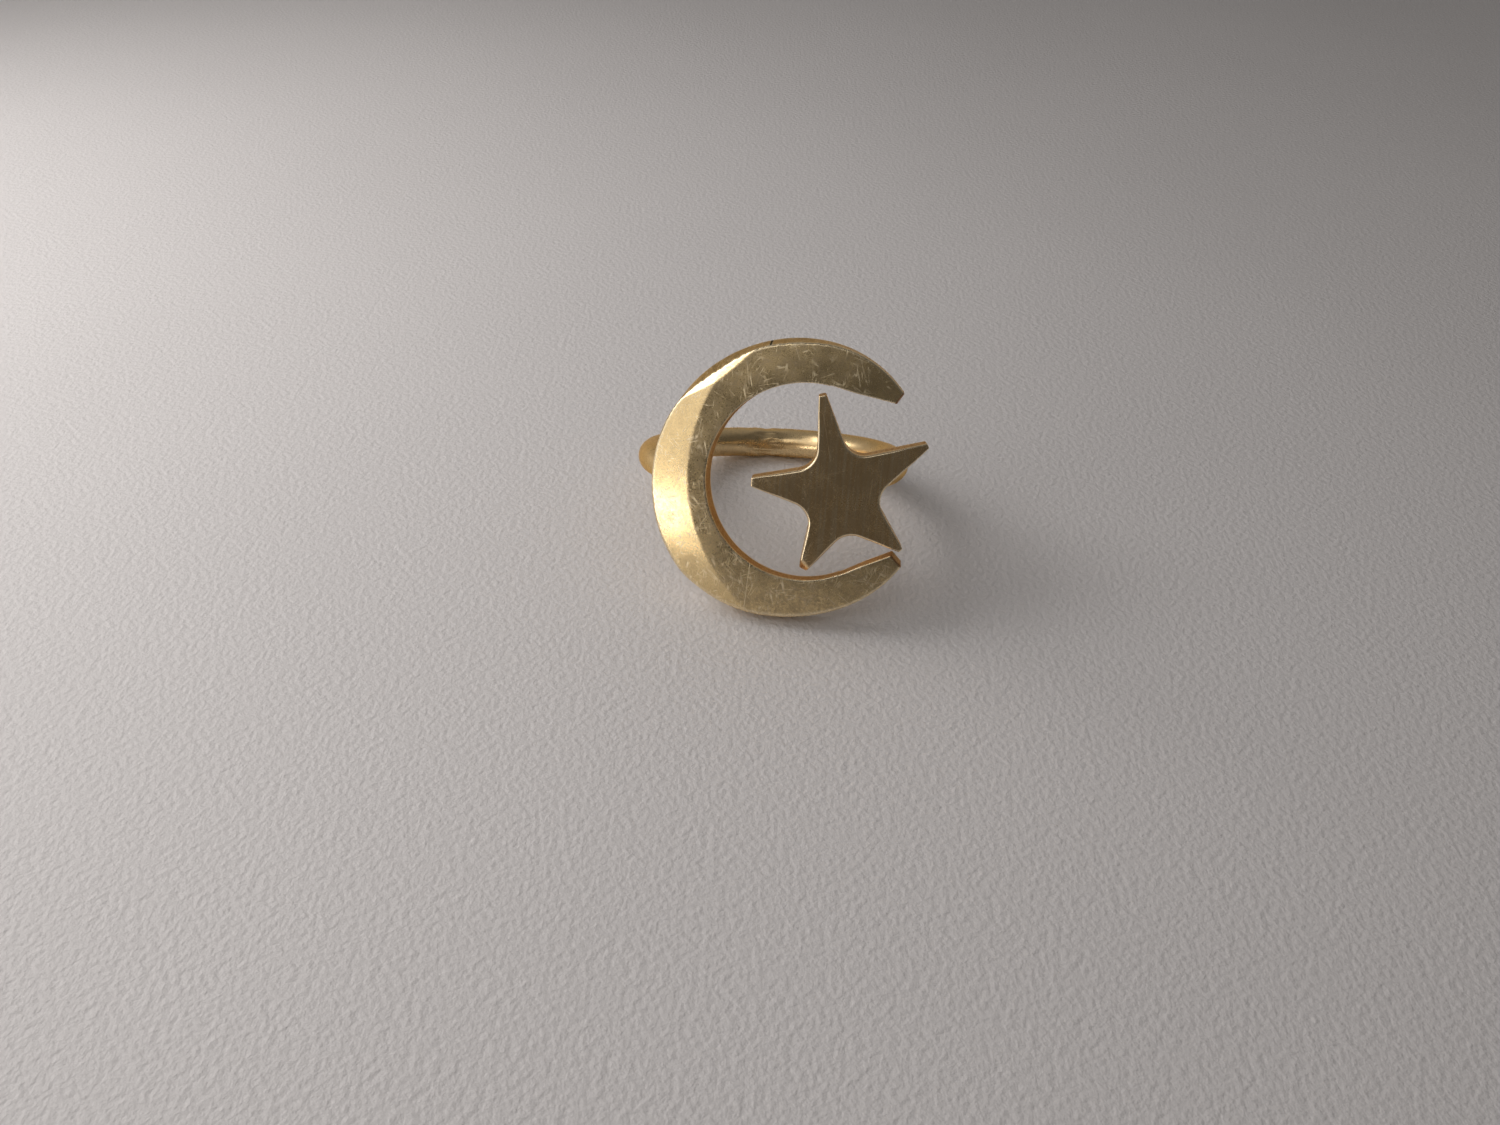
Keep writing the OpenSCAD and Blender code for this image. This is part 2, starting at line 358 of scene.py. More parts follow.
def moon_corners():
    """At each station, the section's four corners in plan and the worn edge's rounding."""
    outer_turn = np.linspace(OUTER_ENDS[0], 360 + OUTER_ENDS[1], MOON_STATIONS)
    inner_turn = np.linspace(INNER_ENDS[0], 360 + INNER_ENDS[1], MOON_STATIONS)
    outer_r = moon_edge_radius(outer_turn)
    inner_r = moon_opening_radius(np.where(inner_turn > 180, inner_turn - 360, inner_turn))
    places = [Vector((turn * RAGGED_PER_DEGREE, 4.0, 0.0)) for turn in outer_turn]
    ragged = np.array([noise.noise(place) for place in places])
    slant = bumps(outer_turn, WALL_SLANTS) * (1 + RAGGED_SLANT * ragged)
    edge_r = (EDGE_R + bumps(outer_turn, EDGE_WEAR)) * (1 + RAGGED_EDGE * ragged)
    inner_slant = bumps(inner_turn, INNER_SLANTS)
    opening = np.array(MOON_HOLE)
    inside = ways(inner_turn) * inner_r[:, None] + opening
    inside_back = ways(inner_turn) * (inner_r - inner_slant)[:, None] + opening
    outside = ways(outer_turn) * (outer_r - slant)[:, None]
    outside_back = ways(outer_turn) * outer_r[:, None]
    return zip(inside, outside, inside_back, outside_back, edge_r)


def across_steps(width, worn_r):
    """Distances across the face from its inner edge, close together on both rounded edges."""
    arc = 1 - np.cos(np.linspace(0, math.pi / 2, EDGE_STEPS))
    inner = INNER_EDGE_R * arc
    outer = width - worn_r * arc[::-1]
    middle = np.linspace(inner[-1], outer[0], FACE_STEPS)[1:-1]
    return np.concatenate((inner, middle, outer))


def wall_points(start, end):
    """The points down a wall between two others, each x, y and height."""
    down = np.linspace(0, 1, WALL_STEPS + 2)[1:-1]
    return start + np.outer(down, end - start)


def moon_section(inside, outside, inside_back, outside_back, worn_r):
    """One closed loop across the crescent, with its marks of wear and painted edge highlight, wall
    and bevel.
    """
    width = np.linalg.norm(outside - inside)
    across = across_steps(width, worn_r)
    plan = inside + np.outer(across / width, outside - inside)
    top, bevel = moon_front(plan[:, 0], plan[:, 1])
    top = top - edge_drop(across, INNER_EDGE_R) - edge_drop(width - across, worn_r)
    front = np.column_stack((plan, top))
    across_back = across[::-1]
    plan = inside_back + np.outer(across_back / width, outside_back - inside_back)
    low = moon_back(plan[:, 0], plan[:, 1])
    low = low + edge_drop(across_back, BACK_EDGE_R) + edge_drop(width - across_back, BACK_EDGE_R)
    back = np.column_stack((plan, low))
    outer_wall = wall_points(front[-1], back[0])
    inner_wall = wall_points(back[-1], front[0])
    # The rounded edges are marked for a painted highlight as well as for wear
    near_inner = 1 - across / (WEAR_AND_HIGHLIGHT_REACH * INNER_EDGE_R)
    near_outer = 1 - (width - across) / (WEAR_AND_HIGHLIGHT_REACH * worn_r)
    worn_and_highlight = np.maximum(near_inner, near_outer).clip(0, 1)
    face = np.zeros(len(across))
    side = np.zeros(WALL_STEPS)
    marks = {
        "wear_and_highlight": (worn_and_highlight, side, worn_and_highlight[::-1], side),
        "wall": (face, side + OUTER_WALL_SHADE, face, side + 1),
        "bevel": (np.clip(bevel / BEVEL_MARK_DEPTH, -1, 1), side, face, side),
    }
    loop = np.vstack((front, outer_wall, back, inner_wall))
    return loop, {name: np.concatenate(parts) for name, parts in marks.items()}


def close_ends(cloud, faces, marks, columns):
    """Closes the cut ends with loops that shrink towards a centre and stand a little proud."""
    points = list(cloud)
    last_loop = len(points) - columns
    ends = ((0, columns, True), (last_loop, last_loop - columns, False))
    for first, neighbour, flip in ends:
        loop = cloud[first:first + columns]
        out = (loop - cloud[neighbour:neighbour + columns]).mean(0)
        out = out / np.linalg.norm(out)
        centre = loop.mean(0)
        away = loop - centre
        length = np.linalg.norm(away, axis=1, keepdims=True).clip(END_LEAST)
        previous = first
        for turn in np.linspace(0, math.pi / 2, END_STEPS + 1)[1:]:
            start = len(points)
            inset = END_PROUD * (1 - math.cos(turn))
            points.extend(centre + away * (1 - inset / length) + out * END_PROUD * math.sin(turn))
            for j in range(columns):
                k = (j + 1) % columns
                face = (previous + j, previous + k, start + k, start + j)
                faces.append(face[::-1] if flip else face)
            previous = start
        points.append(centre + out * END_PROUD)
        faces.extend(fan_faces(previous, columns, len(points) - 1, flip))
    added = len(points) - len(cloud)
    for name, values in marks.items():
        marks[name] = np.append(values, np.full(added, 1.0 if name == "wall" else 0.0))
    return np.array(points), faces, marks


def build_moon():
    """The crescent: a cross-section of face, walls and back, swept from horn to horn."""
    sections = [moon_section(*corners) for corners in moon_corners()]
    columns = len(sections[0][0])
    cloud = np.vstack([loop for loop, _ in sections])
    cloud[:, 2] += ripple(cloud, MOON_RIPPLES)
    names = ("wear_and_highlight", "wall", "bevel")
    marks = {name: np.concatenate([found[name] for _, found in sections]) for name in names}
    faces = loop_faces(MOON_STATIONS, columns)
    cloud, faces, marks = close_ends(cloud, faces, marks, columns)
    moon = make_piece("moon", cloud, faces, MOON, marks)
    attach(moon, "root")
    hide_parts("moon_plate")
    return moon


# Star
STAR_EDGE_R = 0.17
STAR_TIP_EDGE_R = 0.1
# Distance from the middle, over the star's mean, where the rounding starts and ends changing
TIP_EDGE_SPAN = (0.7, 0.85)
STAR_FACE_R = 75.0
STAR_RIPPLES = ((0.35, 0.02, 7.0), (1.2, 0.005, 19.0))
TIP_ROUND_R = 0.12
STAR_OUTLINE_STEP = 0.06
STAR_RINGS = 44
# Worn corners on the face at the ends of arms: which arm, how far in, slope, turn of the slope
TIP_WEAR = ((4, 0.38, 38.0, 0.0), (3, 0.75, 40.0, -24.0), (0, 0.3, 30.0, 10.0))
# The wear stays on this outer share of its own arm
TIP_SHARE = 0.6
TIP_SOFTNESS = 0.02
# How much the wear and painted highlight of the rounded edge fade towards the face
EDGE_HIGHLIGHT_FADE = 0.6


def arc_between(a, corner, b, radius, step):
    """Points round the fillet of that radius in the corner between a and b."""
    to_a = (a - corner) / np.linalg.norm(a - corner)
    to_b = (b - corner) / np.linalg.norm(b - corner)
    half = math.acos(float(np.clip(to_a @ to_b, -1, 1))) / 2
    middle = to_a + to_b
    centre = corner + middle / np.linalg.norm(middle) * radius / math.sin(half)
    start = corner + to_a * radius / math.tan(half) - centre
    cross = to_a[0] * to_b[1] - to_a[1] * to_b[0]
    turn = math.copysign(math.pi - 2 * half, -cross)
    count = max(3, int(abs(turn) * radius / step))
    points = []
    for i in range(count + 1):
        angle = turn * i / count
        c, s = math.cos(angle), math.sin(angle)
        points.append(centre + np.array((start[0] * c - start[1] * s, start[0] * s + start[1] * c)))
    return points


def star_corners():
    """The star's corners clockwise, with the radius that rounds each one."""
    corners = []
    for arm, valley in zip(ARMS, VALLEYS):
        middle = polar(arm[1] * STAR_R, arm[0])
        half = polar(arm[2] / 2, arm[0] + 90)
        corners.append((middle + half, TIP_ROUND_R))
        corners.append((middle - half, TIP_ROUND_R))
        corners.append((polar(valley[1] * STAR_R, valley[0]), FILLET_R))
    return corners


def star_outline():
    """The star's outline, clockwise, with points about as far apart everywhere."""
    corners = star_corners()
    line = []
    for i, (corner, radius) in enumerate(corners):
        a = corners[i - 1][0]
        b = corners[(i + 1) % len(corners)][0]
        line.extend(arc_between(a, corner, b, radius, STAR_OUTLINE_STEP))
    line = np.array(line + line[:1])
    length = np.concatenate(((0,), np.cumsum(np.linalg.norm(np.diff(line, axis=0), axis=1))))
    count = int(length[-1] / STAR_OUTLINE_STEP)
    places = np.linspace(0, length[-1], count, endpoint=False)
    return np.stack((np.interp(places, length, line[:, 0]), np.interp(places, length, line[:, 1])), 1)


def star_tip_wear(plan, height):
    """Lowers the face where the ends of some arms are worn off at a slant."""
    for arm, depth, slope, turn in TIP_WEAR:
        direction, reach, _ = ARMS[arm]
        axis = polar(1, direction + turn)
        start = polar(reach * STAR_R, direction) @ axis - depth
        out = plan @ axis - start
        near = plan @ polar(1, direction) > TIP_SHARE * reach * STAR_R
        slant = -out * math.tan(math.radians(slope))
        height = np.where(near, smooth_min(height, slant, TIP_SOFTNESS), height)
    return height


def star_edge_r(edge):
    """The rounding along the outline, less at the narrow ends of the arms."""
    reach = np.linalg.norm(edge, axis=1) / STAR_R
    return np.interp(reach, TIP_EDGE_SPAN, (STAR_EDGE_R, STAR_TIP_EDGE_R))


def star_face(plan, height):
    """The star's face: hammered a little convex, with the arms' worn ends."""
    return star_tip_wear(plan, height - (plan**2).sum(1) / (2 * STAR_FACE_R))


def star_loops(edge, edge_r):
    """The face's loops from its middle out: each one's plan, its fall and how much wear and painted
    highlight it has.
    """
    ahead = np.roll(edge, -1, 0) - np.roll(edge, 1, 0)
    ahead = ahead / np.linalg.norm(ahead, axis=1, keepdims=True)
    inward = np.stack((ahead[:, 1], -ahead[:, 0]), 1)
    level_part = edge + inward * edge_r[:, None]
    loops = [(level_part * step / STAR_RINGS, 0 * edge_r, 0.0) for step in range(1, STAR_RINGS)]
    for share in np.cos(np.linspace(0, math.pi / 2, EDGE_STEPS)):
        inset = edge_r * (1 - math.sqrt(1 - share**2))
        # The rounded edge is marked for a painted highlight as well as for wear, most at the outline
        worn_and_highlight = 1.0 - EDGE_HIGHLIGHT_FADE * inset[0] / edge_r[0]
        loops.append((edge + inward * inset[:, None], edge_drop(inset, edge_r), worn_and_highlight))
    return loops


def build_star():
    """The star: loops of its outline from the middle of the face over the wall to the back."""
    edge = star_outline()
    edge_r = star_edge_r(edge)
    loops = star_loops(edge, edge_r)
    front = [np.column_stack((plan, star_face(plan, -fall))) for plan, fall, _ in loops]
    back = [np.column_stack((plan, fall - SHEET_T)) for plan, fall, _ in loops[::-1]]
    top = front[-1][:, 2]
    shares = np.linspace(0, 1, WALL_STEPS + 2)[1:-1]
    walls = [np.column_stack((edge, top + share * (edge_r - SHEET_T - top))) for share in shares]
    worn_and_highlight = [worn_and_highlight for _, _, worn_and_highlight in loops]
    wear_and_highlight = worn_and_highlight + [0.0] * WALL_STEPS + worn_and_highlight[::-1]
    wall = [0.0] * len(front) + [1.0] * WALL_STEPS + [0.0] * len(back)
    middles = np.array(((0, 0, 0), (0, 0, -SHEET_T)))
    cloud = np.vstack(front + walls + back + [middles])
    cloud[:, 2] += ripple(cloud, STAR_RIPPLES)
    columns = len(edge)
    face_middle = len(cloud) - 2
    back_middle = len(cloud) - 1
    faces = loop_faces(len(wear_and_highlight), columns)
    faces += fan_faces(0, columns, face_middle, True)
    faces += fan_faces(face_middle - columns, columns, back_middle)
    marks = {
        "wear_and_highlight": np.append(np.repeat(wear_and_highlight, columns), (0, 0)),
        "wall": np.append(np.repeat(wall, columns), (0, 0)),
    }
    star = make_piece("star", cloud, faces, STAR, marks)
    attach(star, "root")
    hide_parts("star_plate")
    return star


# Shank
WIRE_STATIONS = 420
WIRE_SIDES = 64
# The mesh is this much thinner than the wire, which leaves room for its dents
WIRE_ALLOWANCE = 0.01
# Slow swings of the hoop's radius, and small dents of the wire, which noise spreads along it
HOOP_SWING = 0.03
HOOP_SWINGS = 1.7
WIRE_DENT = 0.008
DENTS_ALONG = 9
DENTS_ROUND = 3
DENTS_ACROSS = 0.8
# Where pliers left the inside of the wire dented: angle, depth, half its width in degrees
PLIER_MARKS = ((172.0, 0.12, 5.0), (181.0, 0.08, 5.0))


def star_back(x, y):
    """Height of the star's flat back."""
    return np.full_like(x, -SHEET_T)


# What trims the wire's ends: the plate's place, lean and back, and how far its side of the
# ring reaches, as the sign of x and the least value of x times that sign
TRIMS = (
    (moon_place(), MOON_LEAN, moon_back, -1, -2.0),
    (star_place(), STAR_LEAN, star_back, 1, -3.0),
)
# Only wire this near a plate's middle, and less than this far behind it, is trimmed
TRIM_REACH = 12.0
TRIM_DEPTH = 6.0


def trim_to_plates(cloud):
    """Keeps the wire's ends below the backs of the moon and the star."""
    for place, lean, back, sign, least in TRIMS:
        turn = math.radians(lean)
        across = np.array((math.cos(turn), 0, math.sin(turn)))
        normal = np.array((-math.sin(turn), 0, math.cos(turn)))
        away = cloud - np.array(place)
        x = away @ across
        y = away[:, 1]
        height = away @ normal
        near = (x**2 + y**2 < TRIM_REACH**2) & (height > -TRIM_DEPTH) & (sign * away[:, 0] > least)
        level = back(np.where(near, x, 0), np.where(near, y, 0))
        above = np.where(near, height - level, 0).clip(0)
        cloud = cloud - np.outer(above, normal)
    return cloud


def wire_section(angle, sides):
    """The points round the wire at one angle of the hoop."""
    turn = math.radians(angle)
    out = np.array((-math.sin(turn), 0, math.cos(turn)))
    swing_at = Vector((out[0] * HOOP_SWINGS, 2.0, out[2] * HOOP_SWINGS))
    middle = out * (HOOP_R + HOOP_SWING * noise.noise(swing_at))
    depth = WIRE_DENT + bumps(angle, PLIER_MARKS)
    points = []
    for side in sides:
        local = out * math.cos(side) + np.array((0, math.sin(side), 0))
        along = Vector((out[0] * DENTS_ALONG, DENTS_ROUND * local[1], out[2] * DENTS_ALONG))
        dent = depth * noise.noise(along + Vector(local) * DENTS_ACROSS)
        points.append(middle + local * (WIRE_R - WIRE_ALLOWANCE + dent))
    return points


def build_shank():
    """The round wire, bent by hand over a mandrel, its ends filed to the plates' backs."""
    angles = np.linspace(MOON_END_ANGLE, 360 - STAR_END_ANGLE, WIRE_STATIONS)
    sides = np.linspace(0, 2 * math.pi, WIRE_SIDES, endpoint=False)
    cloud = trim_to_plates(np.vstack([wire_section(angle, sides) for angle in angles]))
    faces = loop_faces(WIRE_STATIONS, WIRE_SIDES)
    ends = []
    for first, flip in ((0, True), ((WIRE_STATIONS - 1) * WIRE_SIDES, False)):
        ends.append(cloud[first:first + WIRE_SIDES].mean(0))
        faces += fan_faces(first, WIRE_SIDES, len(cloud) + len(ends) - 1, flip)
    cloud = np.vstack((cloud, ends))
    blank = np.zeros(len(cloud))
    shank = make_piece("shank", cloud, faces, RING, {"wear_and_highlight": blank, "wall": blank})
    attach(shank, "root")
    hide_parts("shank_wire")
    return shank


# Solder: the voxel of its even mesh, how many times its edges flow, and how far it then swells
# back, in millimetres
SOLDER_VOXEL = 0.07
SOLDER_FLOW = 8
SOLDER_SWELL = 0.09


def soften_solder(node):
    """The solder keeps its CAD shape, with its sharp edges flowed round."""
    solder = frame["nodes"][node]
    remesh = solder.modifiers.new("even_mesh", "REMESH")
    remesh.mode = "VOXEL"
    remesh.voxel_size = SOLDER_VOXEL * MM
    smooth = solder.modifiers.new("flow", "SMOOTH")
    smooth.factor = 0.5
    smooth.iterations = SOLDER_FLOW
    swell = solder.modifiers.new("swell", "DISPLACE")
    swell.strength = SOLDER_SWELL * MM
    swell.mid_level = 0.0
    return solder


# Materials
class Nodes:
    """A small helper that adds and joins shader nodes in one material."""

    def __init__(self, name):
        self.material = bpy.data.materials.new(name)
        self.material.use_nodes = True
        self.tree = self.material.node_tree
        self.shader = self.tree.nodes["Principled BSDF"]

    def add(self, kind, **inputs):
        """A node with these inputs, each a value or another node's output."""
        node = self.tree.nodes.new(kind)
        for key, value in inputs.items():
            self.feed(node.inputs[key.replace("_", " ")], value)
        return node

    def feed(self, socket, value):
        """Joins another node's output to a socket, or sets its value."""
        if isinstance(value, bpy.types.NodeSocket):
            self.tree.links.new(value, socket)
        else:
            socket.default_value = value

    def math(self, operation, a, b=0.0):
        """One calculation with one or two numbers."""
        node = self.tree.nodes.new("ShaderNodeMath")
        node.operation = operation
        self.feed(node.inputs[0], a)
        self.feed(node.inputs[1], b)
        return node.outputs[0]

    def ramp(self, value, low, high):
        """A smooth rise from 0 at the first value to 1 at the second."""
        node = self.tree.nodes.new("ShaderNodeMapRange")
        node.interpolation_type = "SMOOTHSTEP"
        self.feed(node.inputs["Value"], value)
        node.inputs["From Min"].default_value = low
        node.inputs["From Max"].default_value = high
        return node.outputs[0]

    def mix(self, share, a, b):
        """A colour that share of the way from a to b."""
        node = self.tree.nodes.new("ShaderNodeMix")
        node.data_type = "RGBA"
        self.feed(node.inputs["Factor"], share)
        self.feed(node.inputs[6], a)
        self.feed(node.inputs[7], b)
        return node.outputs[2]

    def noise(self, vector, scale, detail=3.0, roughness=0.5):
        """Cloudy noise from 0 to 1."""
        inputs = {"Vector": vector, "Scale": scale, "Detail": detail, "Roughness": roughness}
        return self.add("ShaderNodeTexNoise", **inputs).outputs["Fac"]

    def mark(self, name):
        """One of the marks that make_piece stored on the mesh."""
        node = self.tree.nodes.new("ShaderNodeAttribute")
        node.attribute_name = name
        return node.outputs["Fac"]

    def millimetres(self):
        """The piece's own coordinates, in millimetres."""
        place = self.tree.nodes.new("ShaderNodeTexCoord").outputs["Object"]
        return self.vector_math("SCALE", place, scale=1 / MM)

    def stretched(self, vector, degrees, along, across):
        """Coordinates turned in the plate's plane and scaled along and across that direction.

        Each direction also gets its own far corner of the noise, so that no two look alike.
        """
        node = self.tree.nodes.new("ShaderNodeMapping")
        self.feed(node.inputs["Vector"], vector)
        node.inputs["Location"].default_value = (3.1 * degrees, 1.7 * degrees, 0)
        node.inputs["Rotation"].default_value = (0, 0, math.radians(-degrees))
        return self.vector_math("MULTIPLY", node.outputs[0], (along, across, 1.0))

    def vector_math(self, operation, a, b=None, scale=None):
        """One calculation with vectors, or with a vector and a number."""
        node = self.tree.nodes.new("ShaderNodeVectorMath")
        node.operation = operation
        self.feed(node.inputs[0], a)
        if b is not None:
            self.feed(node.inputs[1], b)
        if scale is not None:
            self.feed(node.inputs["Scale"], scale)
        return node.outputs["Value" if operation in ("DOT_PRODUCT", "LENGTH") else "Vector"]

    def line(self, vector, start, end, half_width):
        """One straight scratch from start to end in the plate's plane, fading to both sides."""
        span = Vector(end) - Vector(start)
        flat = self.vector_math("MULTIPLY", vector, (1.0, 1.0, 0.0))
        away = self.vector_math("SUBTRACT", flat, (*start, 0.0))
        along = self.vector_math("DOT_PRODUCT", away, (*span, 0.0))
        share = self.math("DIVIDE", along, span.length_squared)
        share = self.math("MAXIMUM", self.math("MINIMUM", share, 1.0), 0.0)
        nearest = self.vector_math("SCALE", (*span, 0.0), scale=share)
        distance = self.vector_math("LENGTH", self.vector_math("SUBTRACT", away, nearest))
        return self.ramp(distance, half_width, 0.0)

    def hairlines(self, vector, degrees, along, across, width):
        """Fine scratches in one direction: the middle lines of a stretched noise, broken up."""
        lines = self.noise(self.stretched(vector, degrees, along, across), 1.0, 1.0, 0.5)
        near = self.math("ABSOLUTE", self.math("SUBTRACT", lines, 0.5))
        thin = self.ramp(near, width, 0.0)
        shorter = self.stretched(vector, degrees, 3 * along, 0.35 * across)
        patches = self.ramp(self.noise(shorter, 1.0, 2.0), 0.54, 0.68)
        return self.math("MULTIPLY", thin, patches)


# Directions of the fine scratches in degrees, and the waves per millimetre, along and across
# them, of the noise that makes them
SCRATCHES = (
    (15, 0.3, 2.4),
    (62, 0.25, 2.1),
    (101, 0.3, 2.6),
    (80, 0.35, 3.0),
    (138, 0.2, 2.0),
    (-28, 0.3, 2.8),
)
# A scratch is where that noise is nearer than this to its middle value
HAIRLINE_WIDTH = 0.024

# Noises: each one's waves per millimetre, its detail and, for most, its roughness
MOTTLE = (1.5, 7.0, 0.75)
SPECKLE = (6.0, 4.0, 0.65)
FOG = (0.45, 3.0, 0.6)
SAW_MARKS = (2.2, 4.0, 0.7)
BRUSH_MARKS = (1.0, 4.0, 0.7)
SOLDER_MOTTLE = (3.0, 5.0, 0.6)
SOLDER_LUMPS = (4.0, 4.0)
TABLE_GRAIN = (2.0, 2.0, 0.5)
TABLE_SHADE = (0.02, 2.0)
# The saw's and the brush's marks have their coordinates multiplied by these first
SAW_STRETCH = 3.0
BRUSH_STRETCH = (0.15, 4.5)

# How strongly each of these changes the brass's roughness
ROUGH_TARNISH = 0.12
ROUGH_SCRATCH = 0.35
ROUGH_FOG = 0.06
ROUGH_WALL = 0.1
ROUGH_SPECKLE = 0.1
# How far worn edges, with their painted highlight, and the painted sheen of brush marks brighten the
# colour
WEAR_AND_HIGHLIGHT = 0.85
BRUSH_PAINTED_SHEEN = 0.4
# How high each stands in the brass's fine relief, and that relief's depth in millimetres
RELIEF_SCRATCH = -0.8
RELIEF_SPECKLE = 0.3
RELIEF_BRUSH = 0.6
RELIEF_DEPTH = 0.01

# Colours
SHEET_BRASS = (0.83, 0.63, 0.33, 1)
STAR_BRASS = (0.8, 0.55, 0.28, 1)
WIRE_BRASS = (0.88, 0.66, 0.36, 1)
TARNISH = (0.47, 0.36, 0.215, 1)
# Pale brass of fresh scratches and worn edges; on the edges it is also a painted highlight, and along
# the star's brush marks a painted sheen
WORN_AND_HIGHLIGHT = (1.0, 0.88, 0.64, 1)
WALL_BROWN = (0.42, 0.22, 0.12, 1)
# Brass keeps its colour where it is seen almost edge-on
GRAZING_TINT = (1.0, 0.74, 0.4, 1)
SOLDER_BRIGHT = (0.62, 0.57, 0.42, 1)
SOLDER_DULL = (0.36, 0.3, 0.2, 1)
TABLE_DARKER = (0.72, 0.7, 0.71, 1)
TABLE_LIGHTER = (0.78, 0.76, 0.77, 1)

# Single deep scratches on the faces of the moon and the star: from, to, and how bright
MOON_SCRATCHES = (
    ((-2.68, -6.19), (-3.06, -9.83), 0.8),
    ((4.54, 10.22), (5.25, 8.11), 0.4),
    ((-0.04, 10.25), (0.39, 9.2), 0.4),
    ((-3.5, 8.88), (-3.27, 7.3), 0.5),
    ((6.21, -7.42), (7.02, -5.87), 0.5),
    ((6.67, -7.65), (7.49, -6.17), 0.6),
    ((5.75, -7.2), (6.9, -7.3), 0.35),
)
STAR_SCRATCHES = (
    ((2.3, 0.9), (2.15, -0.9), 0.35),
    ((2.9, 0.1), (2.8, -0.9), 0.3),
    ((-1.6, 5.6), (-0.9, 2.2), 0.25),
    ((-2.9, -3.9), (-1.9, -2.4), 0.25),
)
SCRATCH_HALF_WIDTH = 0.035

# How tarnished, scratched and rough each piece is, and the marks of its own
MOON_LOOK = {
    "tarnished": 0.95,
    "scratched": 0.65,
    "roughness": 0.2,
    # The bevel is given a painted highlight
    "paint_bevel_highlight": True,
    "singles": MOON_SCRATCHES,
}
STAR_LOOK = {
    "tarnished": 0.3,
    "scratched": 0.15,
    "roughness": 0.2,
    "brushed": 88,
    "singles": STAR_SCRATCHES,
}
WIRE_LOOK = {"tarnished": 0.4, "scratched": 0.12, "roughness": 0.24}


def tarnish(n, place, speckle, amount, paint_bevel_highlight):
    """Where tarnish lies: in clouds and specks, and less on the bevel, which shows paler there as a
    painted highlight.
    """
    grain = n.math("MULTIPLY", n.math("SUBTRACT", speckle, 0.5), 0.6)
    clouds = n.ramp(n.math("ADD", n.noise(place, *MOTTLE), grain), 0.25, 0.72)
    patina = n.math("MULTIPLY", clouds, amount)
    if not paint_bevel_highlight:
        return patina
    # Painted highlight: tarnish is taken off the bevel so that it shows paler
    bevel_highlight_share = n.math("MULTIPLY", n.ramp(n.mark("bevel"), -0.2, 0.6), 0.6)
    return n.math("MULTIPLY", patina, n.math("SUBTRACT", 1.0, bevel_highlight_share))


def all_scratches(n, place, amount, singles):
    """Fine scratches in several directions, and the single deep ones."""
    scratches = 0.0
    for degrees, along, across in SCRATCHES:
        fine = n.hairlines(place, degrees, along, across, HAIRLINE_WIDTH)
        scratches = n.math("ADD", scratches, fine)
    scratches = n.math("MULTIPLY", n.math("MINIMUM", scratches, 1.0), amount)
    for start, end, bright in singles:
        single = n.math("MULTIPLY", n.line(place, start, end, SCRATCH_HALF_WIDTH), bright)
        scratches = n.math("MAXIMUM", scratches, single)
    return scratches


def brass(name, metal, tarnished, scratched, roughness, brushed=None, paint_bevel_highlight=False, singles=()):
    """Hand-finished brass: mottled tarnish, scratches, worn edges lightened with a painted highlight,
    and sawn walls.

    brushed is the direction of its brush marks in degrees, if it has them; along them a painted sheen
    lightens the colour.
    """
    n = Nodes(name)
    place = n.millimetres()
    wall = n.mark("wall")
    speckle = n.noise(place, *SPECKLE)
    patina = tarnish(n, place, speckle, tarnished, paint_bevel_highlight)
    scratches = all_scratches(n, place, scratched, singles)

    colour = n.mix(patina, metal, TARNISH)
    colour = n.mix(scratches, colour, WORN_AND_HIGHLIGHT)
    sawn = n.noise(n.stretched(place, 0, SAW_STRETCH, SAW_STRETCH), *SAW_MARKS)
    colour = n.mix(n.math("MULTIPLY", wall, n.ramp(sawn, 0.2, 0.6)), colour, WALL_BROWN)
    # Painted highlight with real wear: the rounded edges are lightened towards pale brass
    colour = n.mix(n.math("MULTIPLY", n.mark("wear_and_highlight"), WEAR_AND_HIGHLIGHT), colour, WORN_AND_HIGHLIGHT)

    rough = n.math("ADD", roughness, n.math("MULTIPLY", patina, ROUGH_TARNISH))
    rough = n.math("ADD", rough, n.math("MULTIPLY", scratches, ROUGH_SCRATCH))
    fog = n.ramp(n.noise(place, *FOG), 0.35, 0.7)
    rough = n.math("ADD", rough, n.math("MULTIPLY", fog, ROUGH_FOG))
    rough = n.math("ADD", rough, n.math("MULTIPLY", wall, ROUGH_WALL))
    uneven = n.math("SUBTRACT", speckle, 0.5)
    rough = n.math("ADD", rough, n.math("MULTIPLY", uneven, ROUGH_SPECKLE))

    height = n.math("MULTIPLY", scratches, RELIEF_SCRATCH)
    height = n.math("ADD", height, n.math("MULTIPLY", speckle, RELIEF_SPECKLE))
    if brushed is not None:
        streaks = n.noise(n.stretched(place, brushed, *BRUSH_STRETCH), *BRUSH_MARKS)
        height = n.math("ADD", height, n.math("MULTIPLY", streaks, RELIEF_BRUSH))
        # Painted sheen: the colour is lightened along the brush marks
        painted_brush_sheen = n.math("MULTIPLY", n.ramp(streaks, 0.4, 0.7), BRUSH_PAINTED_SHEEN)
        colour = n.mix(painted_brush_sheen, colour, WORN_AND_HIGHLIGHT)
    relief = n.add("ShaderNodeBump", Strength=0.5, Distance=RELIEF_DEPTH * MM, Height=height)

    n.shader.inputs["Metallic"].default_value = 1.0
    n.shader.inputs["Specular Tint"].default_value = GRAZING_TINT
    n.feed(n.shader.inputs["Base Color"], colour)
    n.feed(n.shader.inputs["Roughness"], rough)
    n.feed(n.shader.inputs["Normal"], relief.outputs[0])
    return n.material


